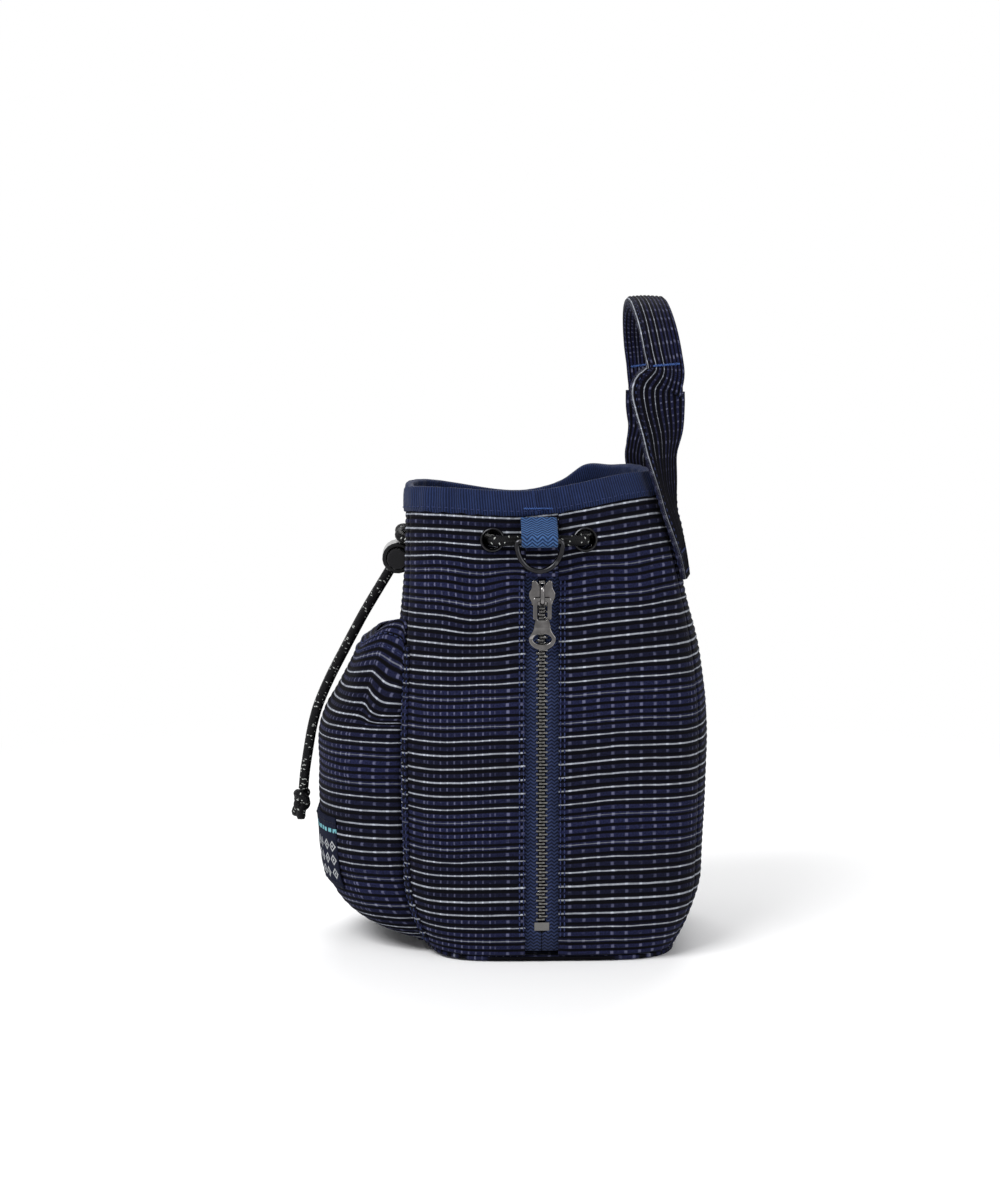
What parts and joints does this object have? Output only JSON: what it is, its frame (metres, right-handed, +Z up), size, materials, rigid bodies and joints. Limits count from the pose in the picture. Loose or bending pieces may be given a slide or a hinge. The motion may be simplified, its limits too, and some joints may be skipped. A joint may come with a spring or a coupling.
{
  "type": "drawstring pouch",
  "caption": "Soft square-based pouch of ribbed cloth with a drawstring mouth, a front slip pocket, a zip up one side, D-rings and a folded handle loop.",
  "frame": {"origin": "centre of the base's underside, on the surface the pouch stands on", "axes": "+Z up, -Y to the front pocket, +X to the zip side, +Y to the handle at the back"},
  "size_m": [0.1364, 0.1699, 0.26],
  "materials": {
    "ribbed_cloth": "ribbed navy and black weave with pale lines",
    "binding": "matt grosgrain tape",
    "webbing": "herringbone webbing",
    "zip_tape": "matt woven tape",
    "gunmetal": "dark polished metal",
    "black_metal": "glossy black plating",
    "black_plastic": "glossy",
    "cord": "braided with pale flecks",
    "label": "smooth woven label"
  },
  "bodies": {
    "pouch": {"side_panel_front_strip": "ribbed_cloth", "side_panel_rear_strip": "ribbed_cloth", "zip_top_patch": "ribbed_cloth", "back_panel": "ribbed_cloth", "side_panel_far": "ribbed_cloth", "front_panel": "ribbed_cloth", "base_panel": "ribbed_cloth", "front_pocket": "ribbed_cloth", "handle_strap": "ribbed_cloth", "rim_binding": "binding", "label_patch": "label", "zip_tape_front": "zip_tape", "zip_tape_rear": "zip_tape", "zip_teeth_front": "gunmetal", "zip_teeth_rear": "gunmetal", "zip_top_stop_front": "gunmetal", "zip_top_stop_rear": "gunmetal", "zip_bottom_stop": "gunmetal", "eyelet_near_front": "black_metal", "eyelet_near_rear": "black_metal", "eyelet_far_front": "black_metal", "eyelet_far_rear": "black_metal", "eyelet_front_near": "black_metal", "eyelet_front_far": "black_metal", "eyelet_washer_near_front": "black_metal", "eyelet_washer_near_rear": "black_metal", "eyelet_washer_far_front": "black_metal", "eyelet_washer_far_rear": "black_metal", "eyelet_washer_front_near": "black_metal", "eyelet_washer_front_far": "black_metal", "webbing_tab_near": "webbing", "webbing_tab_far": "webbing", "drawstring_rim_run": "cord", "drawstring_tail_near": "cord", "drawstring_tail_far": "cord", "drawstring_knot": "cord"},
    "slider": {"zip_slider_body": "gunmetal"},
    "pull": {"zip_pull": "gunmetal"},
    "ring_near": {"d_ring_near": "black_metal"},
    "ring_far": {"d_ring_far": "black_metal"},
    "lock": {"cord_lock_shell": "black_plastic", "cord_lock_spring": "gunmetal"},
    "plunger": {"cord_lock_plunger": "black_plastic"}
  },
  "joints": [
    {"name": "zip_slide", "type": "slide", "parent": "pouch", "child": "slider", "axis": [0.0231, 0, -0.9997], "range_m": [0, 0.122], "deforming": ["zip_teeth_front", "zip_teeth_rear"]},
    {"name": "zip_pull_swing", "type": "hinge", "parent": "slider", "child": "pull", "pos_m": [0.06039, -0.0045, 0.14329], "axis": [0, -1, 0], "range_deg": [0, 140]},
    {"name": "ring_near_swing", "type": "hinge", "parent": "pouch", "child": "ring_near", "pos_m": [0.06553, -0.0058, 0.1662], "axis": [0, -1, 0], "range_deg": [-8, 140]},
    {"name": "ring_far_swing", "type": "hinge", "parent": "pouch", "child": "ring_far", "pos_m": [-0.06618, -0.0058, 0.1587], "axis": [0, 1, 0], "range_deg": [-8, 140]},
    {"name": "lock_slide", "type": "slide", "parent": "pouch", "child": "lock", "axis": [0, -0.515, -0.8572], "range_m": [0, 0.019]},
    {"name": "lock_press", "type": "slide", "parent": "lock", "child": "plunger", "axis": [-1, 0, 0], "range_m": [0, 0.002], "stiffness_N_per_m": 300, "springref_m": -0.002, "deforming": ["cord_lock_spring"]}
  ]
}
